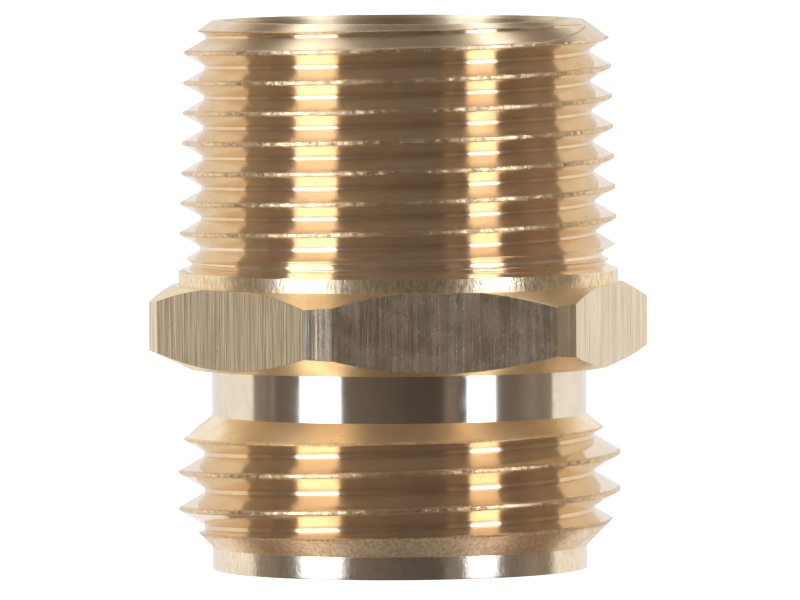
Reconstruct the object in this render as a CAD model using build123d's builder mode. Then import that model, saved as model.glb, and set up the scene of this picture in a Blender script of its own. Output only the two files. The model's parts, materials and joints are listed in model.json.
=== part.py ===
from build123d import *
from math import atan, cos, degrees, radians, tan
import os

# A brass adapter turned from one length of hexagonal bar: a tapered pipe thread on top, a garden hose
# thread below, a wrench hexagon between them and a waterway right through. Millimetres, +Z up, with the
# origin at the centre of the hose end's sealing face.

INCH = 25.4

# Hose end: straight garden hose thread, 11.5 turns to the inch, behind a plain pilot
HOSE_PITCH = INCH / 11.5
HOSE_CREST_RADIUS = 13.35
HOSE_ROOT_RADIUS = 11.80
HOSE_GROOVE_HEIGHT = 3.69
PILOT_RADIUS = 11.30
PILOT_TOP = 1.39
HOSE_LEAD_TOP = 3.44
HOSE_THREAD_TOP = 7.63
NECK_BOTTOM = 9.36

# Wrench hexagon, 1 1/16 inch across flats, with its corners turned down and chamfered
ACROSS_FLATS = INCH * (1 + 1 / 16)
CORNER_RADIUS = 15.20
CORNER_DIRECTION = 10.8
HEX_BOTTOM = 12.33
HEX_TOP = 17.27
LOWER_CHAMFER_HEIGHT = 1.10
LOWER_CHAMFER_RADIUS = 13.50
UPPER_CHAMFER_HEIGHT = 0.91
UPPER_CHAMFER_RADIUS = 13.70

# Pipe end: tapered pipe thread, 14 turns to the inch, 1 in 16 on the diameter
PIPE_PITCH = INCH / 14
TAPER = 1 / 32
TOTAL_HEIGHT = 33.12
PIPE_CREST_RADIUS = 12.89
PIPE_ROOT_RADIUS = 11.58
PIPE_THREAD_BOTTOM = 19.41
PIPE_TURNS = 8.3
COLLAR_RADIUS = 13.26
COLLAR_TOP = 17.95
END_FACE_RADIUS = 11.20
END_CHAMFER_HEIGHT = 1.17

# The last turn of the pipe thread closes up and runs out into a shallow ring above the collar
RUN_OUT_PITCH = 0.91
RUN_OUT_RISE = 0.60
RING_HEIGHT = 18.45
RING_TOP = 19.00
RING_RADIUS = 12.40

# Waterway
BORE_RADIUS = 10.30
BORE_EDGE = 0.20

# Thread form: 60 degree grooves. The cutter opens a little past the crests and then runs straight out.
FLANK_SLOPE = tan(radians(30))
CREST_FLAT = 0.16
PAST_CREST = 0.08
CUTTER_REACH = 0.60

# Vertical planes through the axis, by the direction in which each looks out from it
SIDES = {0: Plane.XZ, 180: Plane(origin=(0, 0, 0), x_dir=(-1, 0, 0), z_dir=(0, 1, 0))}


def pipe_crest(height):
    """Radius of the pipe thread's crests at this height."""
    return PIPE_CREST_RADIUS + (TOTAL_HEIGHT - height) * TAPER


def pipe_root(height):
    """Radius of the pipe thread's roots at this height."""
    return PIPE_ROOT_RADIUS + (TOTAL_HEIGHT - height) * TAPER


def cut_groove(direction, height, root, crest, pitch, advance, turns=1.0, narrowing=0.0):
    """Cuts right-hand turns of a thread groove into the part being built.

    The groove starts at this direction and height, climbs by advance in a full turn, and comes in
    towards the axis by narrowing for each millimetre that it climbs. Its width suits the pitch.
    """
    half_mouth = (pitch - CREST_FLAT) / 2
    half_floor = half_mouth - (crest - root) * FLANK_SLOPE
    half_open = half_mouth + PAST_CREST * FLANK_SLOPE
    with BuildSketch(SIDES[direction], mode=Mode.PRIVATE) as section:
        with BuildLine():
            Polyline(
                (root, height - half_floor),
                (crest + PAST_CREST, height - half_open),
                (crest + CUTTER_REACH, height - half_open),
                (crest + CUTTER_REACH, height + half_open),
                (crest + PAST_CREST, height + half_open),
                (root, height + half_floor),
                close=True,
            )
        make_face()
    cone = atan(narrowing)
    helix = Helix(
        advance / cos(cone),
        advance * turns,
        root,
        center=(0, 0, height),
        cone_angle=-degrees(cone),
        mode=Mode.PRIVATE,
    )
    path = helix.rotate(Axis.Z, direction)
    sweep(section.sketch, path, is_frenet=True, mode=Mode.SUBTRACT)


with BuildPart() as adapter_body:
    # Hexagonal bar
    with BuildSketch():
        RegularPolygon(ACROSS_FLATS / 2, 6, major_radius=False, rotation=CORNER_DIRECTION)
    extrude(amount=TOTAL_HEIGHT)

    # Turning: everything outside this outline is cut away
    chamfer_start = TOTAL_HEIGHT - END_CHAMFER_HEIGHT
    with BuildSketch(Plane.XZ):
        with BuildLine():
            Polyline(
                (0, 0),
                (PILOT_RADIUS, 0),
                (PILOT_RADIUS, PILOT_TOP),
                (HOSE_CREST_RADIUS, HOSE_LEAD_TOP),
                (HOSE_CREST_RADIUS, HOSE_THREAD_TOP),
                (PILOT_RADIUS, NECK_BOTTOM),
                (PILOT_RADIUS, HEX_BOTTOM),
                (LOWER_CHAMFER_RADIUS, HEX_BOTTOM),
                (CORNER_RADIUS, HEX_BOTTOM + LOWER_CHAMFER_HEIGHT),
                (CORNER_RADIUS, HEX_TOP - UPPER_CHAMFER_HEIGHT),
                (UPPER_CHAMFER_RADIUS, HEX_TOP),
                (COLLAR_RADIUS, HEX_TOP),
                (COLLAR_RADIUS, COLLAR_TOP),
                (RING_RADIUS, RING_HEIGHT),
                (pipe_crest(RING_TOP), RING_TOP),
                (pipe_crest(chamfer_start), chamfer_start),
                (END_FACE_RADIUS, TOTAL_HEIGHT),
                (0, TOTAL_HEIGHT),
                close=True,
            )
        make_face()
    revolve(axis=Axis.Z, mode=Mode.INTERSECT)

    # Hose thread, open at both ends because the pilot and the neck are smaller than its root
    for turn in range(-2, 3):
        height = HOSE_GROOVE_HEIGHT + turn * HOSE_PITCH
        cut_groove(0, height, HOSE_ROOT_RADIUS, HOSE_CREST_RADIUS, HOSE_PITCH, HOSE_PITCH)

    # Pipe thread, from its first full turn to past the end face
    root = pipe_root(PIPE_THREAD_BOTTOM)
    crest = pipe_crest(PIPE_THREAD_BOTTOM)
    cut_groove(180, PIPE_THREAD_BOTTOM, root, crest, PIPE_PITCH, PIPE_PITCH, PIPE_TURNS, TAPER)

    # Run-out: two half turns that climb in from the ring to the first full turn
    for direction, turns_below in ((0, 0.5), (180, 1.0)):
        height = PIPE_THREAD_BOTTOM - RUN_OUT_PITCH * turns_below
        root = pipe_root(PIPE_THREAD_BOTTOM) + RUN_OUT_RISE * turns_below
        crest = pipe_crest(PIPE_THREAD_BOTTOM) + RUN_OUT_RISE * turns_below
        narrowing = RUN_OUT_RISE / RUN_OUT_PITCH
        cut_groove(direction, height, root, crest, PIPE_PITCH, RUN_OUT_PITCH, 0.5, narrowing)

    # Waterway, with its edges broken at both ends
    Hole(BORE_RADIUS)
    bore_ends = (
        adapter_body.edges()
        .filter_by(GeomType.CIRCLE)
        .filter_by(lambda edge: abs(edge.radius - BORE_RADIUS) < BORE_EDGE / 2)
    )
    chamfer(bore_ends, BORE_EDGE)

adapter_body.part.label = "adapter_body"
os.makedirs("parts", exist_ok=True)
export_step(adapter_body.part, "parts/adapter_body.step")
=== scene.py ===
import json
import math

import bmesh
import bpy
import numpy as np
from mathutils import Matrix, Vector


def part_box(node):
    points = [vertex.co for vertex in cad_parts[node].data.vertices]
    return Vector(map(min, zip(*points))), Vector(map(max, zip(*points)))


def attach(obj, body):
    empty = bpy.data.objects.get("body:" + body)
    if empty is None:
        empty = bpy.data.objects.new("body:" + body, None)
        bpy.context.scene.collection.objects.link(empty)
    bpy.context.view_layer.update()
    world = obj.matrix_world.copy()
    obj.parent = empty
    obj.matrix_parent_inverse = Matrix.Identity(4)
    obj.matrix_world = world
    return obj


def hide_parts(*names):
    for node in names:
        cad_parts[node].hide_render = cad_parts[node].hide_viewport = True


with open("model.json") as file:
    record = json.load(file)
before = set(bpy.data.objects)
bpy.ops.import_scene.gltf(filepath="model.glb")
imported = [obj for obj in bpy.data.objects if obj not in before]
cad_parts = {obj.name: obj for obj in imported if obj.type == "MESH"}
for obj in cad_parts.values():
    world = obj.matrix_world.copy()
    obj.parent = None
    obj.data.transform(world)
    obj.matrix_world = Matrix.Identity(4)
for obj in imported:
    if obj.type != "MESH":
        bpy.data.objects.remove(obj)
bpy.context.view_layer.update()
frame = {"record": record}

MM = 0.001
MICROMETRE = 1e-6
mounts = {mount["name"]: mount["dims"] for mount in frame["record"]["mounts"]}
box_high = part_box("adapter_body")[1]

# ---------------------------------------------------------------- dimensions, in millimetres and degrees
# Where one of these isn't the CAD's, it follows the photo more closely than the solid does.
INCH = 25.4
HEIGHT = box_high.z / MM

# Waterway
BORE_RADIUS = mounts["waterway"]["r_mm"]
BORE_EDGE = 0.20

# Hose end
PILOT_RADIUS = mounts["hose_pilot"]["r_mm"]
PILOT_TOP = mounts["hose_pilot"]["length_mm"]
HOSE_PITCH = INCH / 11.5
HOSE_CREST = mounts["hose_thread"]["r_mm"]
HOSE_ROOT = 11.80
HOSE_GROOVE = 3.69
HOSE_LEAD_TOP = 3.44
HOSE_THREAD_TOP = 7.63
NECK_BOTTOM = 9.36

# Wrench hexagon, whose corners are narrow facets that lean a little one way. Its lower chamfer starts
# further in behind than in front: it changes over DEEPER_OVER degrees, which begin DEEPER_FROM degrees
# round from the front.
FLAT_RADIUS = INCH * (1 + 1 / 16) / 2
CORNER_RADIUS = 15.20
CORNER_DIRECTION = 10.8
CORNER_LEAN = 6.5
HEX_BOTTOM = 12.25
HEX_TOP = 17.20
LOWER_CHAMFER_HEIGHT = 1.10
LOWER_CHAMFER_RADIUS = 13.20
DEEPER_BEHIND = 0.45
DEEPER_FROM = 62
DEEPER_OVER = 26
UPPER_CHAMFER_HEIGHT = 0.91
UPPER_CHAMFER_RADIUS = 13.70

# Pipe end
PIPE_PITCH = INCH / 14
TAPER = 1 / 32
PIPE_CREST = 12.81
PIPE_ROOT = 11.56
PIPE_GROOVE = 19.41
COLLAR_RADIUS = 13.26
COLLAR_TOP = 18.05
RING_HEIGHT = 18.45
RING_TOP = 19.00
RING_RADIUS = 12.40
END_FACE_RADIUS = 11.20
END_CHAMFER_HEIGHT = 1.17
RUN_OUT_PITCH = 0.91
RUN_OUT_RISE = 0.60

# Thread form. Turns are counted from +X, and the pipe thread's groove number 0 passes through PIPE_GROOVE
# half a turn round. A groove's flanks are drawn GROOVE_REACH further out than its floor. From LAST_TURN
# turns up the pipe thread, its lower flank has the finish of the end chamfer.
FLANK_SLOPE = math.tan(math.radians(30.5))
HOSE_CREST_FLAT = 0.15
PIPE_CREST_FLAT = 0.16
GROOVE_REACH = 3.0
HOSE_TURNS = range(-3, 5)
HOSE_GROOVES_BETWEEN = (-1.0, 11.0)
PIPE_TURNS = range(-2, 10)
PIPE_GROOVES_BELOW = HEIGHT + 1.0
PIPE_START_TURN = 0.5
RUN_OUT_TURNS = 1.0
LAST_TURN = 6.75

# Roundings of the corners, as radii, and the most of a neighbouring run that a rounding may take
ROUNDING = 0.045
PILOT_ROUNDING = 0.13
FLOOR_ROUNDING = 0.035
CREST_ROUNDING = 0.030
ROUNDED_OVER = math.radians(14)
MOST_OF_A_RUN = 0.4

# Columns round the axis. At each edge of the flats there are three more, EDGE_EASE apart, and an even
# one is left out where it would be nearer to them than this share of a step.
COLUMNS = 480
EDGE_EASE = 0.16
EDGE_CLEARANCE = 0.3

# Wear of the crests' corners, in turns along the thread. The table has a row for the lower and the upper
# corners of the pipe thread's crests, and then of the hose thread's.
WEAR_DEPTH = 0.06
WEAR_STEPS = 240
WEAR_TURNS = 14
TURNS_BELOW_ZERO = 3
WEAR = np.random.default_rng(7).random((4, WEAR_STEPS * WEAR_TURNS))

# Heights or slopes that differ by less than SAME are taken as equal, and a run that is shorter than
# SHORTEST_RUN gets no rounding
SAME = 1e-9
SHORTEST_RUN = 1e-7

# The hexagon's corners: half the angle that the turned-down corner takes up, the facet's distance from
# the axis, and how far before the facet its formula stops being used
CORNER_HALF = 30 - math.degrees(math.acos(FLAT_RADIUS / CORNER_RADIUS))
FACET_DISTANCE = CORNER_RADIUS * math.cos(math.radians(CORNER_HALF + CORNER_LEAN))
FACET_MARGIN = 1


# ---------------------------------------------------------------- outlines
# A run is a straight stretch of an outline: (start height, start radius, end height, end radius, name).
def outline(points, name):
    """The runs through these (radius, height) points."""
    return [(z0, r0, z1, r1, (name, i)) for i, ((r0, z0), (r1, z1)) in enumerate(zip(points, points[1:]))]


def at(run, height):
    """A run's radius at this height."""
    z0, r0, z1, r1, _ = run
    return r0 + (r1 - r0) * (height - z0) / (z1 - z0)


def slope(run):
    z0, r0, z1, r1, _ = run
    return (r1 - r0) / (z1 - z0)


def crossing(a, b):
    """The height at which two runs would cross, or None where they are parallel."""
    if abs(slope(a) - slope(b)) < SAME:
        return None
    return ((b[1] - slope(b) * b[0]) - (a[1] - slope(a) * a[0])) / (slope(a) - slope(b))


def envelope(lines, bottom, top):
    """The innermost of these runs from bottom to top, as (height where it starts, run)."""
    marks = {bottom, top}
    for i, a in enumerate(lines):
        marks.update(height for height in (a[0], a[2]) if bottom < height < top)
        for b in lines[i + 1:]:
            height = crossing(a, b)
            if height is not None and max(a[0], b[0], bottom) < height < min(a[2], b[2], top):
                marks.add(height)
    heights = sorted(marks)
    found = []
    for low, high in zip(heights, heights[1:]):
        if high - low < SAME:
            continue
        middle = (low + high) / 2
        here = [run for run in lines if run[0] <= middle <= run[2]]
        inner = min(here, key=lambda run: at(run, middle))
        if not found or found[-1][1] is not inner:
            found.append((low, inner))
    return found


def eased(share):
    """A share from 0 to 1, with a soft start and a soft end."""
    return share * share * (3 - 2 * share)


def pipe_crest(height):
    """Radius of the pipe thread's crests at this height."""
    return PIPE_CREST + (HEIGHT - height) * TAPER


def pipe_root(height):
    """Radius of the pipe thread's roots at this height."""
    return PIPE_ROOT + (HEIGHT - height) * TAPER


CHAMFER_START = HEIGHT - END_CHAMFER_HEIGHT
HOSE_OUTLINE = outline(
    [
        (PILOT_RADIUS, 0),
        (PILOT_RADIUS, PILOT_TOP),
        (HOSE_CREST, HOSE_LEAD_TOP),
        (HOSE_CREST, HOSE_THREAD_TOP),
        (PILOT_RADIUS, NECK_BOTTOM),
        (PILOT_RADIUS, HEX_BOTTOM),
    ],
    "hose",
)
PIPE_OUTLINE = outline(
    [
        (COLLAR_RADIUS, HEX_TOP),
        (COLLAR_RADIUS, COLLAR_TOP),
        (RING_RADIUS, RING_HEIGHT),
        (pipe_crest(RING_TOP), RING_TOP),
        (pipe_crest(CHAMFER_START), CHAMFER_START),
        (END_FACE_RADIUS, HEIGHT),
    ],
    "pipe",
)


# ---------------------------------------------------------------- threads
def groove(height, root, half_floor, name):
    """The two flanks and the floor of a thread groove where it crosses a column."""
    low, high = height - half_floor, height + half_floor
    mouth = root + GROOVE_REACH
    wide = GROOVE_REACH * FLANK_SLOPE
    return [
        (low - wide, mouth, low, root, (name, "down")),
        (low, root, high, root, (name, "floor")),
        (high, root, high + wide, mouth, (name, "up")),
    ]


def half_floor_of(pitch, crest_flat, crest, root):
    """Half the width of a groove's floor."""
    return (pitch - crest_flat) / 2 - (crest - root) * FLANK_SLOPE


def hose_grooves(turn):
    """The hose thread's grooves in a column that is this many turns round."""
    found = []
    lowest, highest = HOSE_GROOVES_BETWEEN
    half_floor = half_floor_of(HOSE_PITCH, HOSE_CREST_FLAT, HOSE_CREST, HOSE_ROOT)
    for k in HOSE_TURNS:
        height = HOSE_GROOVE + (turn + k) * HOSE_PITCH
        if lowest < height < highest:
            found += groove(height, HOSE_ROOT, half_floor, ("hose_groove", k))
    return found


def pipe_turns(turn, k):
    """How many turns up the pipe thread its groove k is here. Below 0 it runs out."""
    return turn - PIPE_START_TURN + k


def pipe_grooves(turn):
    """The pipe thread's grooves in a column that is this many turns round."""
    found = []
    half_floor = half_floor_of(PIPE_PITCH, PIPE_CREST_FLAT, PIPE_CREST, PIPE_ROOT)
    for k in PIPE_TURNS:
        along = pipe_turns(turn, k)
        if along < -RUN_OUT_TURNS:
            continue
        if along < 0:
            height = PIPE_GROOVE + RUN_OUT_PITCH * along
            root = pipe_root(PIPE_GROOVE) - RUN_OUT_RISE * along
        else:
            height = PIPE_GROOVE + PIPE_PITCH * along
            root = pipe_root(height)
        if height < PIPE_GROOVES_BELOW:
            found += groove(height, root, half_floor, ("pipe_groove", k))
    return found


def is_flank(run):
    """Whether a run's name is that of a groove's flank."""
    return isinstance(run, tuple) and isinstance(run[0], tuple) and run[1] in ("up", "down")


def wear_at(turns, row):
    """How far a crest's corner is worn down here, with turns counted along the thread."""
    place = (turns + TURNS_BELOW_ZERO) * WEAR_STEPS
    step = math.floor(place)
    ease = eased(place - step)
    fine = WEAR[row][step] * (1 - ease) + WEAR[row][step + 1] * ease
    return WEAR_DEPTH * fine * fine


def worn(points, turn):
    """The same points, with the thread crests' corners worn back along their flanks."""
    first_rows = {("pipe", 3): 0, ("hose", 2): 2}
    out = []
    for radius, height, name, run in points:
        if isinstance(name, tuple):
            before, after = name
            if is_flank(before) and after in first_rows:
                # A crest's lower corner: the groove below it has a smaller number than the one above
                loss = wear_at(turn + before[0][1] + 1, first_rows[after])
                radius, height = radius - loss, height - loss * FLANK_SLOPE
            if is_flank(after) and before in first_rows:
                loss = wear_at(turn + after[0][1], first_rows[before] + 1)
                radius, height = radius - loss, height + loss * FLANK_SLOPE
        out.append((radius, height, name, run))
    return out


# ---------------------------------------------------------------- hexagon
def flat_distance(direction):
    """Distance from the axis to the hexagon's nearest flat in this direction, which is in radians."""
    off = (math.degrees(direction) - CORNER_DIRECTION - 30) % 60
    return FLAT_RADIUS / math.cos(math.radians(off if off < 30 else off - 60))


def corner_distance(direction):
    """Distance from the axis to the facet at the nearest corner, or to the turned-down corner itself."""
    off = (math.degrees(direction) - CORNER_DIRECTION + 30) % 60 - 30
    if off < -CORNER_HALF - FACET_MARGIN:
        return CORNER_RADIUS
    return min(CORNER_RADIUS, FACET_DISTANCE / math.cos(math.radians(off - CORNER_LEAN)))


def facet_end():
    """How far past the corner, in degrees, the leaning facet meets the next flat."""
    half_turn, lean = math.radians(30), math.radians(CORNER_LEAN)
    rise = FLAT_RADIUS * math.cos(lean) - FACET_DISTANCE * math.cos(half_turn)
    reach = FACET_DISTANCE * math.sin(half_turn) - FLAT_RADIUS * math.sin(lean)
    return math.degrees(math.atan2(rise, reach))


def lower_chamfer_radius(direction):
    """Where the hexagon's lower chamfer starts in this direction."""
    from_front = abs(math.degrees(direction) % 360 - 270)
    from_front = min(from_front, 360 - from_front)
    share = min(1.0, max(0.0, (from_front - DEEPER_FROM) / DEEPER_OVER))
    return LOWER_CHAMFER_RADIUS - DEEPER_BEHIND * eased(share)


def hex_outline(direction):
    """The runs that bound the hexagon in this direction: its turned outline, and its flat."""
    corner = corner_distance(direction)
    flat = flat_distance(direction)
    start = lower_chamfer_radius(direction)
    lower_slope = LOWER_CHAMFER_HEIGHT / (CORNER_RADIUS - start)
    upper_slope = UPPER_CHAMFER_HEIGHT / (CORNER_RADIUS - UPPER_CHAMFER_RADIUS)
    turned = outline(
        [
            (start, HEX_BOTTOM),
            (corner, HEX_BOTTOM + (corner - start) * lower_slope),
            (corner, HEX_TOP - (corner - UPPER_CHAMFER_RADIUS) * upper_slope),
            (UPPER_CHAMFER_RADIUS, HEX_TOP),
        ],
        "hex",
    )
    return turned + [(HEX_BOTTOM, flat, HEX_TOP, flat, ("flat", 0))]


# ---------------------------------------------------------------- mesh
# A column's point is (radius, height, name, name of the run that follows it). A corner between two runs
# is named after both, so that neighbouring columns can be joined corner to corner.
def climb(points, lines, bottom, top, before):
    """Adds the innermost of these runs from bottom to top to the points, and returns the last of them."""
    found = envelope(lines, bottom, top)
    for low, run in found:
        points.append((at(run, low), low, (before, run[4]), run[4]))
        before = run[4]
    return found[-1][1]


def column(direction):
    """The part's outline in this direction: up the outside, over the end face and down the bore."""
    turn = direction / (2 * math.pi)
    points = [(BORE_RADIUS + BORE_EDGE, 0.0, "sealing_inner", "sealing")]
    climb(points, HOSE_OUTLINE + hose_grooves(turn), 0.0, HEX_BOTTOM, ("sealing", 0))
    points.append((PILOT_RADIUS, HEX_BOTTOM, "neck_top", "hex_bottom"))
    last = climb(points, hex_outline(direction), HEX_BOTTOM, HEX_TOP, ("hex_bottom", 0))
    points.append((at(last, HEX_TOP), HEX_TOP, "hex_top_outer", "hex_top"))
    last = climb(points, PIPE_OUTLINE + pipe_grooves(turn), HEX_TOP, HEIGHT, ("hex_top", 0))
    points.append((at(last, HEIGHT), HEIGHT, "end_outer", "end_face"))
    points.append((BORE_RADIUS + BORE_EDGE, HEIGHT, "end_inner", "bore_edge"))
    points.append((BORE_RADIUS, HEIGHT - BORE_EDGE, "bore_top", "bore"))
    points.append((BORE_RADIUS, BORE_EDGE, "bore_bottom", "bore_edge"))
    return worn(points, turn)


def rounding_of(name):
    """The rounding of the corner with this name."""
    if name == (("sealing", 0), ("hose", 0)):
        return PILOT_ROUNDING
    if isinstance(name, tuple) and "floor" in str(name):
        return FLOOR_ROUNDING
    if isinstance(name, tuple) and "groove" in str(name):
        return CREST_ROUNDING
    return ROUNDING


def rounded(points):
    """Each sharp corner becomes three points of a small arc."""
    out = []
    for i, (radius, height, name, run) in enumerate(points):
        corner = np.array([radius, height])
        to_before = np.array(points[i - 1][:2]) - corner
        to_after = np.array(points[(i + 1) % len(points)][:2]) - corner
        length_before, length_after = np.hypot(*to_before), np.hypot(*to_after)
        shorter = min(length_before, length_after)
        if shorter < SHORTEST_RUN:
            out.append((radius, height, (name, 1), run))
            continue
        to_before, to_after = to_before / length_before, to_after / length_after
        turned = math.pi - math.acos(max(-1.0, min(1.0, float(to_before @ to_after))))
        if turned < ROUNDED_OVER:
            out.append((radius, height, (name, 1), run))
            continue
        cut = min(rounding_of(name) * math.tan(turned / 2), shorter * MOST_OF_A_RUN)
        start, end = corner + to_before * cut, corner + to_after * cut
        middle = (start + end) / 4 + corner / 2
        out.append((*start, (name, 0), ("arc", run)))
        out.append((*middle, (name, 1), ("arc", run)))
        out.append((*end, (name, 2), run))
    return out


def after_a_turn(name):
    """The name that a first column's point has when the last column meets it, a full turn further on."""
    if isinstance(name, tuple):
        if len(name) == 2 and name[0] in ("hose_groove", "pipe_groove"):
            return (name[0], name[1] - 1)
        return tuple(after_a_turn(part) for part in name)
    return name


def directions():
    """The columns' directions: evenly spaced, with three at each edge of the flats."""
    edges = [
        (CORNER_DIRECTION + 60 * corner + side + ease) % 360
        for corner in range(6)
        for side in (-CORNER_HALF, facet_end())
        for ease in (-EDGE_EASE, 0.0, EDGE_EASE)
    ]
    step = 360 / COLUMNS
    clear = step * EDGE_CLEARANCE
    even = [i * step for i in range(COLUMNS)]
    kept = [d for d in even if min(abs((d - e + 180) % 360 - 180) for e in edges) > clear]
    return [math.radians(d) for d in sorted(kept + edges)]


def zipped(lower, upper, first, second):
    """Faces between two neighbouring columns, row to row wherever the same run goes on.

    The columns' vertices have the numbers in first and second. Each face comes with its run's name.
    """
    places = {point[2]: i for i, point in enumerate(upper)}
    pairs = []
    last = -1
    for i, point in enumerate(lower):
        j = places.get(point[2])
        if j is not None and j > last:
            pairs.append((i, j))
            last = j
    pairs.append((len(lower), len(upper)))
    faces = []
    for (a, b), (a_end, b_end) in zip(pairs, pairs[1:]):
        while a < a_end or b < b_end:
            a_next, b_next = (a + 1) % len(lower), (b + 1) % len(upper)
            here_a, here_b = lower[a % len(lower)], upper[b % len(upper)]
            if a < a_end and b < b_end and a_end - a == b_end - b:
                faces.append(((first[a], second[b], second[b_next], first[a_next]), here_a[3]))
                a, b = a + 1, b + 1
                continue
            across_a = np.hypot(lower[a_next][0] - here_b[0], lower[a_next][1] - here_b[1])
            across_b = np.hypot(upper[b_next][0] - here_a[0], upper[b_next][1] - here_a[1])
            if b >= b_end or (a < a_end and across_a <= across_b):
                faces.append(((first[a], second[b % len(upper)], first[a_next]), here_a[3]))
                a += 1
            else:
                faces.append(((first[a % len(lower)], second[b], second[b_next]), here_b[3]))
                b += 1
    return faces


# The finish of each run of the outlines. The grooves' runs are in finish_at.
FINISH_OF = {
    "sealing": "chamfer", "hex_bottom": "shoulder", "hex_top": "shoulder", "end_face": "chamfer",
    "bore_edge": "bore", "bore": "bore",
    ("hose", 0): "pilot", ("hose", 1): "sandy", ("hose", 2): "thread", ("hose", 3): "lead",
    ("hose", 4): "turned",
    ("hex", 0): "shoulder", ("hex", 1): "flat", ("hex", 2): "shoulder", ("flat", 0): "flat",
    ("pipe", 0): "collar", ("pipe", 1): "thread", ("pipe", 2): "thread", ("pipe", 3): "thread",
    ("pipe", 4): "chamfer",
}


def finish_at(run, turn):
    """The finish of the run with this name in a column that is this many turns round."""
    plain = run[1] if run[0] == "arc" else run
    if not isinstance(plain[0], tuple):
        return FINISH_OF[plain]
    (thread, k), side = plain
    if thread == "pipe_groove" and side == "down" and pipe_turns(turn, k) >= LAST_TURN:
        # The last turn's lower flank lies open like the end chamfer
        return "chamfer"
    return "thread"


def crest_of(name):
    """1 at a corner between a thread's groove and the turned outline, and 0 at any other point."""
    text = str(name)
    return 1.0 if "groove" in text and ("'hose'" in text or "'pipe'" in text) else 0.0


def build_mesh():
    """Vertices in millimetres, faces, the finish of each face, and each vertex's crest value."""
    angles = directions()
    columns = [rounded(column(angle)) for angle in angles]
    vertices, numbers, crest = [], [], []
    for angle, points in zip(angles, columns):
        numbers.append(list(range(len(vertices), len(vertices) + len(points))))
        for radius, height, name, _ in points:
            vertices.append((radius * math.cos(angle), radius * math.sin(angle), height))
            crest.append(crest_of(name))
    faces, finishes = [], []
    for i, angle in enumerate(angles):
        following = (i + 1) % len(columns)
        upper = columns[following]
        if following == 0:
            upper = [(r, z, after_a_turn(name), after_a_turn(run)) for r, z, name, run in upper]
        for face, run in zipped(columns[i], upper, numbers[i], numbers[following]):
            faces.append(face)
            finishes.append(FINISHES.index(finish_at(run, angle / (2 * math.pi))))
    return np.array(vertices), faces, finishes, crest


# Faces are shaded as one surface where they turn by less than this angle, which is kept as its cosine
SMOOTH_UNDER = math.cos(math.radians(34))
NO_LENGTH = 1e-20


def read(items, attribute, kind=float, width=1):
    """One attribute of all these items, as an array."""
    values = np.zeros(len(items) * width, kind)
    items.foreach_get(attribute, values)
    return values


def smooth_normals(mesh):
    """Corner normals that weigh each face by its area, so that long flanks stay straight."""
    corner_vertex = read(mesh.loops, "vertex_index", np.int32)
    totals = read(mesh.polygons, "loop_total", np.int32)
    areas = read(mesh.polygons, "area")
    normals = read(mesh.polygons, "normal", width=3).reshape(-1, 3)
    corner_face = np.repeat(np.arange(len(totals)), totals)
    order = np.argsort(corner_vertex, kind="stable")
    first = np.searchsorted(corner_vertex[order], np.arange(len(mesh.vertices)))
    count = np.bincount(corner_vertex, minlength=len(mesh.vertices))
    result = np.zeros((len(mesh.loops), 3))
    for step in range(int(count.max())):
        corners = np.nonzero(count[corner_vertex] > step)[0]
        other = corner_face[order[first[corner_vertex[corners]] + step]]
        mine = corner_face[corners]
        agree = np.einsum("ij,ij->i", normals[mine], normals[other]) > SMOOTH_UNDER
        result[corners] += normals[other] * (areas[other] * agree)[:, None]
    lengths = np.linalg.norm(result, axis=1)
    bad = lengths < NO_LENGTH
    result[bad] = normals[corner_face[bad]]
    lengths[bad] = 1.0
    return result / lengths[:, None]


# Points closer than MERGED become one, and edges shorter than DISSOLVED are taken out, both in metres
MERGED = 2e-7
DISSOLVED = 1e-7


def make_body(materials):
    vertices, faces, finishes, crest = build_mesh()
    mesh = bpy.data.meshes.new("adapter_body_visual")
    mesh.from_pydata((vertices * MM).tolist(), [], faces)
    mesh.attributes.new("crest", "FLOAT", "POINT").data.foreach_set("value", crest)
    mesh.polygons.foreach_set("material_index", finishes)
    shaped = bmesh.new()
    shaped.from_mesh(mesh)
    bmesh.ops.remove_doubles(shaped, verts=shaped.verts, dist=MERGED)
    bmesh.ops.dissolve_degenerate(shaped, edges=shaped.edges, dist=DISSOLVED)
    bmesh.ops.recalc_face_normals(shaped, faces=shaped.faces)
    shaped.to_mesh(mesh)
    shaped.free()
    mesh.polygons.foreach_set("use_smooth", [True] * len(mesh.polygons))
    mesh.update()
    mesh.normals_split_custom_set(smooth_normals(mesh).tolist())
    for material in materials:
        mesh.materials.append(material)
    body = bpy.data.objects.new("adapter_body_visual", mesh)
    bpy.context.scene.collection.objects.link(body)
    return body


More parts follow.
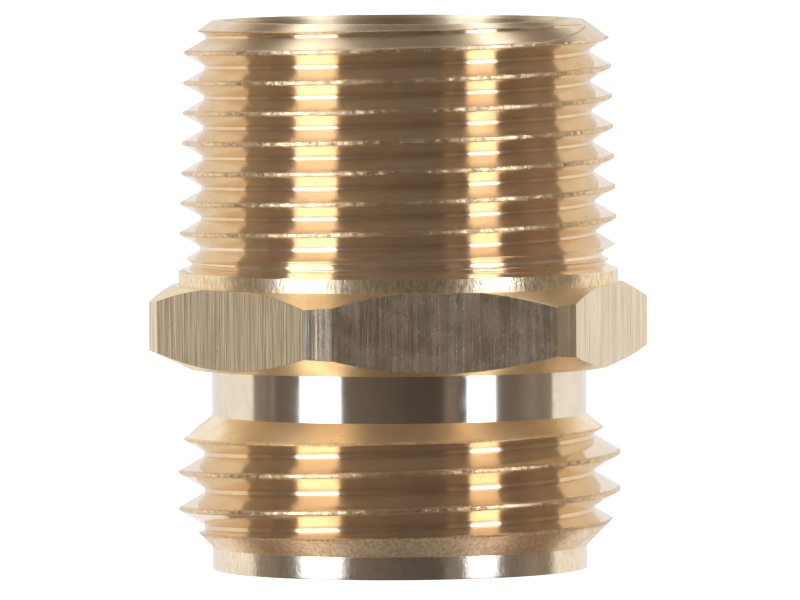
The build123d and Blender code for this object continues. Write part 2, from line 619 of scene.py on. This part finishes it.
# ---------------------------------------------------------------- materials
class Nodes:
    """A short way to write a node tree. Colours are given without their alpha."""

    def __init__(self, tree):
        self.tree = tree
        tree.nodes.clear()

    def add(self, kind, inputs=None, **settings):
        """Adds a node. Each input is an output of another node or a constant."""
        node = self.tree.nodes.new(kind)
        for key, value in settings.items():
            setattr(node, key, value)
        for key, value in (inputs or {}).items():
            socket = node.inputs[key]
            if isinstance(value, bpy.types.NodeSocket):
                self.tree.links.new(value, socket)
            elif socket.type == "RGBA":
                socket.default_value = (*value, 1.0)
            else:
                socket.default_value = value
        return node

    def math(self, operation, a, b=0.0, c=0.0):
        return self.add("ShaderNodeMath", {0: a, 1: b, 2: c}, operation=operation).outputs[0]

    def between(self, value, low, high, to_low=0.0, to_high=1.0):
        """Maps value from low..high to to_low..to_high, and holds the ends."""
        inputs = {"Value": value, "From Min": low, "From Max": high, "To Min": to_low, "To Max": to_high}
        return self.add("ShaderNodeMapRange", inputs, clamp=True).outputs[0]

    def window(self, value, low, high, edge):
        """1 where value lies from low to high and 0 elsewhere, with soft edges of this width."""
        up = self.between(value, low - edge / 2, low + edge / 2)
        down = self.between(value, high - edge / 2, high + edge / 2, 1.0, 0.0)
        return self.math("MULTIPLY", up, down)

    def joined(self, x, y, z):
        return self.add("ShaderNodeCombineXYZ", {0: x, 1: y, 2: z}).outputs[0]

    def noise(self, place, across, along, scale, detail, roughness):
        """Noise that is stretched by different amounts across and along the part's axis."""
        stretch = {0: place, 1: (across, across, along)}
        stretched = self.add("ShaderNodeVectorMath", stretch, operation="MULTIPLY").outputs[0]
        inputs = {"Vector": stretched, "Scale": scale, "Detail": detail, "Roughness": roughness}
        return self.add("ShaderNodeTexNoise", inputs).outputs[0]

    def ramp(self, factor, stops):
        """Blends through these stops, each a position and a colour."""
        node = self.add("ShaderNodeValToRGB", {"Fac": factor})
        elements = node.color_ramp.elements
        for _ in stops[2:]:
            elements.new(0.5)
        for element, (position, colour) in zip(elements, stops):
            element.position = position
            element.color = (*colour, 1.0)
        return node.outputs["Color"]

    def mix(self, factor, a, b, blend="MIX"):
        inputs = {0: factor, 6: a, 7: b}
        return self.add("ShaderNodeMix", inputs, data_type="RGBA", blend_type=blend).outputs[2]


# Each finish: colour, colour of its stains, roughness, how far that varies, metallic, anisotropy and its
# rotation, depth of the fine marks in micrometres, and how many of them go to a millimetre across and
# along the axis
LOOKS = {
    "turned": ((0.81, 0.69, 0.54), (0.74, 0.61, 0.46), 0.13, 0.10, 0.98, 0.55, 0.25, 0.8, 0.25, 14.0),
    "collar": ((1.0, 0.82, 0.53), (0.92, 0.71, 0.42), 0.28, 0.14, 0.90, 0.66, 0.25, 16.0, 4.5, 1.6),
    "chamfer": ((0.82, 0.68, 0.49), (0.74, 0.59, 0.40), 0.38, 0.12, 0.95, 0.90, 0.25, 1.6, 0.5, 10.0),
    "shoulder": ((0.86, 0.67, 0.385), (0.78, 0.58, 0.315), 0.32, 0.10, 0.92, 0.66, 0.25, 1.2, 0.5, 10.0),
    "thread": ((0.867, 0.702, 0.492), (0.817, 0.642, 0.432), 0.12, 0.05, 0.90, 0.55, 0.25, 0.4, 0.3, 12.0),
    "flat": ((0.88, 0.70, 0.465), (0.76, 0.645, 0.465), 0.23, 0.08, 1.0, 0.45, 0.0, 5.0, 6.0, 0.16),
    "bore": ((0.84, 0.71, 0.48), (0.76, 0.62, 0.41), 0.47, 0.08, 1.0, 0.88, 0.25, 1.0, 0.3, 6.0),
    "sandy": ((1.0, 0.78, 0.53), (0.91, 0.68, 0.44), 0.33, 0.12, 0.92, 0.50, 0.25, 6.0, 4.0, 2.0),
    "lead": ((0.98, 0.79, 0.53), (0.91, 0.70, 0.44), 0.30, 0.08, 0.92, 0.60, 0.25, 1.2, 0.5, 8.0),
    "pilot": ((0.90, 0.77, 0.59), (0.82, 0.68, 0.48), 0.17, 0.10, 0.95, 0.55, 0.25, 6.0, 3.0, 2.6),
}
FINISHES = list(LOOKS)
GRAINY = ("sandy", "collar", "pilot", "lead")
RAGGED = ("thread", "chamfer", "sandy", "lead")
CHATTERED = ("sandy", "collar", "pilot")

# The fine marks' noise: its scale, detail and roughness. And the same of each other noise, after how much
# it is stretched across and along the axis.
MARKS = (1.0, 3.0, 0.6)
CLOUD = (1.0, 1.0, 0.55, 4.0, 0.6)
GRAIN = (1.0, 1.0, 16.0, 2.0, 0.6)
DRAWN = (2.2, 0.05, 1.0, 4.0, 0.7)
MOTTLE = (1.0, 0.35, 5.0, 4.0, 0.75)
BURR = (1.0, 1.6, 9.0, 3.0, 0.7)
BURR_PATCHES = (1.0, 1.0, 1.3, 2.0, 0.5)
GRIT = (1.0, 1.0, 5.5, 2.0, 0.6)
PITS = (1.0, 1.0, 2.6, 3.0, 0.6)
CHATTER = (1.0, 0.4, 5.0, 3.0, 0.65)

# Between which levels of its noise each mark fades in
STAINED_OVER = (0.42, 0.68)
ROUGHENED_OVER = (0.3, 0.7)
DRAWN_OVER = (0.36, 0.64)
STREAKED_OVER = (0.42, 0.66)
MOTTLED_OVER = (0.30, 0.74)
BURR_PATCHES_OVER = (0.38, 0.60)
GRITTY_OVER = (0.46, 0.60)
PITTED_OVER = (0.705, 0.745)
CHATTERED_OVER = (0.36, 0.68)

# What each mark multiplies the colour by
STREAK_TINT = (0.72, 0.66, 0.58)
# Painted shade on the front and rear flats, laid on in mottled patches
MOTTLE_AND_SHADE_TINT = (0.71, 0.59, 0.46)
PALE_GRIT_TINT = (1.0, 0.92, 0.76)
DARK_GRIT_TINT = (0.76, 0.64, 0.47)
PIT_TINT = (0.62, 0.52, 0.44)
CHATTER_TINT = (0.68, 0.60, 0.50)
PILOT_CHATTER_TINT = (0.88, 0.84, 0.78)
# Painted shade in the grooves' floors, darker and warmer than the flanks
FLOOR_SHADE_TINT = (0.92, 0.83, 0.71)
HOSE_TINT = (0.98, 0.965, 0.945)

# How deep each mark is in micrometres, and how much it adds to the roughness
DRAWN_DEPTH = 22.0
FLAT_GRAIN_DEPTH = 0.8
GRAIN_DEPTH = 2.6
FINE_GRAIN_DEPTH = 0.5
BURR_DEPTHS = (11.0, 24.0)
BURR_ROUGHNESS = 0.14
MOTTLE_ROUGHNESS = 0.08

# The front flat looks this way. It and the one behind are dull, with painted shade that darkens their colour
# in mottled patches, and their streaks are fainter.
FRONT_FLAT = (0.187, -0.982)
DULL_AND_SHADED_OVER = (0.84, 0.88)
DULL_STREAKS = 0.55

# What the burrs' noise adds to a point's crest value, and the sums over which the metal turns ragged
BURR_REACH = 0.24
RAGGED_OVER = (1.03, 1.09)

# The grooves' floors, which get painted shade, are where crest values are lower than these, above these
# heights or on the hose side, which ends over the last ones
FLOORS_OVER = (0.0, 0.04)
PIPE_FLOORS_OVER = (19.6, 20.2)
HOSE_SIDE_OVER = (11.0, 13.0)


class Brass:
    """One finish of the brass. Each step changes its colour, its roughness or its height."""

    def __init__(self, kind):
        colour, stain, rough, rough_range, metallic, anisotropy, rotation, depth, across, along = LOOKS[kind]
        self.material = bpy.data.materials.new("brass_" + kind)
        self.material.use_nodes = True
        self.nodes = nodes = Nodes(self.material.node_tree)
        parts = nodes.add("ShaderNodeSeparateXYZ", {0: nodes.add("ShaderNodeTexCoord").outputs["Object"]})
        self.x, self.y, self.z = [nodes.math("MULTIPLY", part, 1 / MM) for part in parts.outputs]
        squares = [nodes.math("MULTIPLY", part, part) for part in (self.x, self.y)]
        self.radius = nodes.math("SQRT", nodes.math("ADD", *squares))
        self.place = nodes.joined(self.x, self.y, self.z)
        self.crest = nodes.add("ShaderNodeAttribute", attribute_name="crest").outputs["Fac"]

        # Fine marks: round the part where it was turned, lengthwise where it was drawn
        upwards = self.z if kind == "flat" else nodes.math("ADD", self.z, self.radius)
        marks_place = nodes.joined(self.x, self.y, upwards)
        self.marks = nodes.noise(marks_place, across, along, *MARKS)
        self.height = nodes.math("MULTIPLY", self.marks, depth)
        cloud = nodes.noise(self.place, *CLOUD)
        least, most = rough - rough_range / 2, rough + rough_range / 2
        self.roughness = nodes.between(cloud, *ROUGHENED_OVER, least, most)
        if kind == "flat":
            drawn = nodes.noise(self.place, *DRAWN)
            self.colour = nodes.mix(nodes.between(drawn, *DRAWN_OVER), colour, stain)
            self.raise_by(drawn, DRAWN_DEPTH)
            self.grain(FLAT_GRAIN_DEPTH)
            self.streaks_and_mottling()
        else:
            self.colour = nodes.mix(nodes.between(cloud, *STAINED_OVER), colour, stain)
            self.grain(GRAIN_DEPTH if kind in GRAINY else FINE_GRAIN_DEPTH)
        if kind in RAGGED:
            self.ragged_crests()
        self.pits()
        if kind in CHATTERED:
            self.chatter(PILOT_CHATTER_TINT if kind == "pilot" else CHATTER_TINT)
        if kind == "thread":
            self.groove_floors()
        self.surface(metallic, anisotropy, rotation)

    def tint(self, factor, tint):
        """Multiplies the colour by a tint, as far as the factor says."""
        tinted = self.nodes.mix(1.0, self.colour, tint, "MULTIPLY")
        self.colour = self.nodes.mix(factor, self.colour, tinted)

    def raise_by(self, texture, depth):
        self.height = self.nodes.math("MULTIPLY_ADD", texture, depth, self.height)

    def roughen_by(self, texture, amount):
        self.roughness = self.nodes.math("MULTIPLY_ADD", texture, amount, self.roughness)

    def grain(self, depth):
        self.raise_by(self.nodes.noise(self.place, *GRAIN), depth)

    def streaks_and_mottling(self):
        """The front and rear flats are dull, with painted shade that darkens them in mottled patches, and
        the others keep the streaks of drawing.
        """
        nodes = self.nodes
        products = [nodes.math("MULTIPLY", *pair) for pair in zip((self.x, self.y), FRONT_FLAT)]
        forward = nodes.math("ABSOLUTE", nodes.math("ADD", *products))
        dull_and_shaded = nodes.between(nodes.math("DIVIDE", forward, self.radius), *DULL_AND_SHADED_OVER)
        mottle = nodes.noise(self.place, *MOTTLE)
        strength = nodes.between(dull_and_shaded, 0.0, 1.0, 1.0, DULL_STREAKS)
        self.tint(nodes.between(self.marks, *STREAKED_OVER, 0.0, strength), STREAK_TINT)
        # Painted shade: the front and rear flats' colour is darkened in mottled patches
        self.tint(nodes.math("MULTIPLY", nodes.between(mottle, *MOTTLED_OVER), dull_and_shaded), MOTTLE_AND_SHADE_TINT)
        self.roughen_by(nodes.math("MULTIPLY", mottle, dull_and_shaded), MOTTLE_ROUGHNESS)

    def ragged_crests(self):
        """Burrs and grit along the corners of the crests."""
        nodes = self.nodes
        burr = nodes.noise(self.place, *BURR)
        ragged = nodes.between(nodes.math("MULTIPLY_ADD", burr, BURR_REACH, self.crest), *RAGGED_OVER)
        depth = nodes.between(nodes.noise(self.place, *BURR_PATCHES), *BURR_PATCHES_OVER, *BURR_DEPTHS)
        self.raise_by(nodes.math("MULTIPLY", burr, ragged), depth)
        self.roughen_by(ragged, BURR_ROUGHNESS)
        grit = nodes.between(nodes.noise(self.place, *GRIT), *GRITTY_OVER)
        self.tint(ragged, nodes.mix(grit, PALE_GRIT_TINT, DARK_GRIT_TINT))

    def pits(self):
        """Small dark pits."""
        self.tint(self.nodes.between(self.nodes.noise(self.place, *PITS), *PITTED_OVER), PIT_TINT)

    def chatter(self, tint):
        """Fine upright marks in the colour, left by the tool's chatter."""
        self.tint(self.nodes.between(self.nodes.noise(self.place, *CHATTER), *CHATTERED_OVER), tint)

    def groove_floors(self):
        """The grooves' floors get painted shade, darker and warmer than their flanks, and the hose thread is
        warmer than the pipe thread.
        """
        nodes = self.nodes
        hose_side = nodes.between(self.z, *HOSE_SIDE_OVER, 1.0, 0.0)
        threaded = nodes.math("MAXIMUM", hose_side, nodes.between(self.z, *PIPE_FLOORS_OVER))
        shaded_floors = nodes.between(self.crest, *FLOORS_OVER, 1.0, 0.0)
        # Painted shade in the grooves' floors
        self.tint(nodes.math("MULTIPLY", shaded_floors, threaded), FLOOR_SHADE_TINT)
        self.tint(hose_side, HOSE_TINT)

    def surface(self, metallic, anisotropy, rotation):
        nodes = self.nodes
        bump = nodes.add("ShaderNodeBump", {"Height": self.height, "Distance": MICROMETRE, "Strength": 1.0})
        tangent = nodes.add("ShaderNodeTangent", direction_type="RADIAL", axis="Z")
        surface = nodes.add(
            "ShaderNodeBsdfPrincipled",
            {
                "Base Color": self.colour,
                "Metallic": metallic,
                "Roughness": self.roughness,
                "Anisotropic": anisotropy,
                "Anisotropic Rotation": rotation,
                "Tangent": tangent.outputs[0],
                "Normal": bump.outputs[0],
            },
        )
        nodes.add("ShaderNodeOutputMaterial", {0: surface.outputs[0]})


body = make_body([Brass(kind).material for kind in FINISHES])
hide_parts("adapter_body")
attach(body, "root")

# ---------------------------------------------------------------- studio
# What stands round the part at eye level, from behind it on the left round to behind it on the right, as
# directions in degrees and light levels. White paper stands beyond the first and the last of them.
SURROUND = [
    (-101.5, 0.30), (-92.0, 0.27), (-87.0, 0.20), (-84.6, 0.31), (-82.0, 0.17), (-78.0, 0.145),
    (-70.0, 0.17), (-63.2, 0.20), (-36.0, 0.17), (-28.0, 0.145), (-16.0, 0.13), (-6.0, 0.11),
    (6.0, 0.085), (22.0, 0.075), (27.0, 0.085), (29.0, 0.24), (35.0, 0.20), (37.0, 0.14),
    (42.0, 0.15), (61.0, 0.17), (76.0, 0.17), (86.0, 0.26), (90.0, 0.29), (97.0, 0.24),
    (103.0, 0.27), (109.0, 0.30),
]
ROOM_TINT = (1.0, 0.86, 0.76)
PAPER = (1.02, 1.02, 1.02)
PAPER_FAR = (0.88, 0.88, 0.92)
PAPER_FAR_OVER = (125.0, 170.0)
SOFT_EDGE = 1.0

# Two tall softboxes, whose light is weaker at the foot
LEFT_SOFTBOX = (-63.2, -36.6)
RIGHT_SOFTBOX = (42.6, 61.0)
SOFTBOX = (3.7, 4.4, 5.8)
SOFTBOX_FOOT = (1.35, 1.4, 1.8)
FOOT_OVER = (-7.6, -2.9)

# Well above and below eye level everything is warmer
WARMTH = (0.84, 0.68, 0.47)
WARM_OVER = (28.0, 42.0)

# Overhead and underneath, only part of it is left, with a light of their own added
OVERHEAD = (0.22, 0.195, 0.175)
OVERHEAD_OVER = (60.0, 67.0)
OVERHEAD_MOST = 1.0
OVERHEAD_SHARE = 0.7
UNDER_OVER = (-67.0, -60.0)
UNDER_MOST = 1.2
UNDER_SHARE = 0.42
UNDER_SIDES_OVER = (20.0, 140.0)
UNDER_LEVELS = (0.20, 0.95)
UNDER_BLUE = 0.95

# The ground that the camera sees behind the part, and the floor's glow
WHITE = (1.0, 1.0, 1.0)


def eye_level(nodes, azimuth, rise):
    """The room, the paper and the softboxes that stand round the part."""
    low, high = SURROUND[0][0], SURROUND[-1][0]
    stops = [((d - low) / (high - low), [level * tint for tint in ROOM_TINT]) for d, level in SURROUND]
    room = nodes.ramp(nodes.between(azimuth, low, high), stops)
    far = nodes.between(nodes.math("ABSOLUTE", azimuth), *PAPER_FAR_OVER)
    paper = nodes.mix(far, PAPER, PAPER_FAR)
    beyond = nodes.math("SUBTRACT", 1.0, nodes.window(azimuth, low, high, SOFT_EDGE))
    boxes = [nodes.window(azimuth, *box, SOFT_EDGE) for box in (LEFT_SOFTBOX, RIGHT_SOFTBOX)]
    box_light = nodes.mix(nodes.between(rise, *FOOT_OVER), SOFTBOX_FOOT, SOFTBOX)
    return nodes.mix(nodes.math("ADD", *boxes), nodes.mix(beyond, room, paper), box_light)


def dimmed(nodes, colour, most, share, added):
    """The colour held below most, and a share of that with another light added."""
    held = nodes.mix(1.0, colour, (most,) * 3, "DARKEN")
    return nodes.mix(1.0, nodes.mix(1.0, held, (share,) * 3, "MULTIPLY"), added, "ADD")


def studio_world():
    """The light round the part, which the camera sees only by reflection."""
    world = bpy.data.worlds.new("studio")
    bpy.context.scene.world = world
    world.use_nodes = True
    nodes = Nodes(world.node_tree)
    place = nodes.add("ShaderNodeTexCoord").outputs["Generated"]
    x, y, z = nodes.add("ShaderNodeSeparateXYZ", {0: place}).outputs
    # A direction is counted as twice the angle of the line halfway between it and the front, which is 0.
    # So a softbox's reflection runs straight up over flanks that face up or down.
    halfway = nodes.math("ARCTAN2", x, nodes.math("SUBTRACT", 1.0, y))
    azimuth = nodes.math("MULTIPLY", halfway, 360 / math.pi)
    rise = nodes.math("MULTIPLY", nodes.math("ARCSINE", z), 180 / math.pi)
    around = eye_level(nodes, azimuth, rise)
    warm = nodes.between(nodes.math("ABSOLUTE", rise), *WARM_OVER)
    light = nodes.mix(warm, around, nodes.mix(1.0, around, WARMTH, "MULTIPLY"))
    overhead = dimmed(nodes, around, OVERHEAD_MOST, OVERHEAD_SHARE, OVERHEAD)
    light = nodes.mix(nodes.between(rise, *OVERHEAD_OVER), light, overhead)
    level = nodes.between(nodes.math("ABSOLUTE", azimuth), *UNDER_SIDES_OVER, *UNDER_LEVELS)
    glow = nodes.joined(level, level, nodes.math("MULTIPLY", level, UNDER_BLUE))
    under = dimmed(nodes, around, UNDER_MOST, UNDER_SHARE, glow)
    light = nodes.mix(nodes.between(rise, *UNDER_OVER, 1.0, 0.0), light, under)
    seen = nodes.add("ShaderNodeLightPath").outputs["Is Camera Ray"]
    colour = nodes.mix(seen, light, WHITE)
    background = nodes.add("ShaderNodeBackground", {"Color": colour, "Strength": 1.0})
    nodes.add("ShaderNodeOutputWorld", {0: background.outputs[0]})


studio_world()

FLOOR_HALF = 6.0
FLOOR_GREY = 0.9
FLOOR_ROUGHNESS = 0.9
FLOOR_GLOW = 0.75


def make_floor():
    corners = [(x * FLOOR_HALF, y * FLOOR_HALF, 0.0) for x, y in ((-1, -1), (1, -1), (1, 1), (-1, 1))]
    mesh = bpy.data.meshes.new("floor")
    mesh.from_pydata(corners, [], [(0, 1, 2, 3)])
    floor = bpy.data.objects.new("floor", mesh)
    bpy.context.scene.collection.objects.link(floor)
    material = bpy.data.materials.new("floor_paper")
    material.use_nodes = True
    nodes = Nodes(material.node_tree)
    surface = nodes.add(
        "ShaderNodeBsdfPrincipled",
        {
            "Base Color": (FLOOR_GREY,) * 3,
            "Roughness": FLOOR_ROUGHNESS,
            "Emission Color": WHITE,
            "Emission Strength": FLOOR_GLOW,
        },
    )
    nodes.add("ShaderNodeOutputMaterial", {0: surface.outputs[0]})
    mesh.materials.append(material)
    floor.visible_glossy = False
    floor.visible_shadow = False
    floor.visible_diffuse = False


make_floor()

# ---------------------------------------------------------------- camera, in millimetres and degrees
# The picture shows a stretch VISIBLE_WIDTH wide at the point that the camera is aimed at.
CAMERA_DISTANCE = 860.0
CAMERA_RISE = 2.72
CAMERA_ROLL = -0.33
CAMERA_AIM = (0.08, 0.0, 16.20)
VISIBLE_WIDTH = 48.250905
SENSOR_WIDTH = 36.0
CLIP_START = 50.0
CLIP_END = 20000.0


def make_camera():
    data = bpy.data.cameras.new("camera")
    camera = bpy.data.objects.new("camera", data)
    bpy.context.scene.collection.objects.link(camera)
    data.sensor_width = SENSOR_WIDTH
    data.lens = SENSOR_WIDTH * CAMERA_DISTANCE / VISIBLE_WIDTH
    data.clip_start = CLIP_START * MM
    data.clip_end = CLIP_END * MM
    rise = math.radians(CAMERA_RISE)
    back = Vector((0.0, -math.cos(rise), math.sin(rise)))
    camera.location = (Vector(CAMERA_AIM) + back * CAMERA_DISTANCE) * MM
    turn = (-back).to_track_quat("-Z", "Y").to_matrix()
    camera.rotation_euler = (turn @ Matrix.Rotation(math.radians(CAMERA_ROLL), 3, "Z")).to_euler()
    bpy.context.scene.camera = camera


make_camera()
bpy.context.scene.view_settings.view_transform = "Standard"
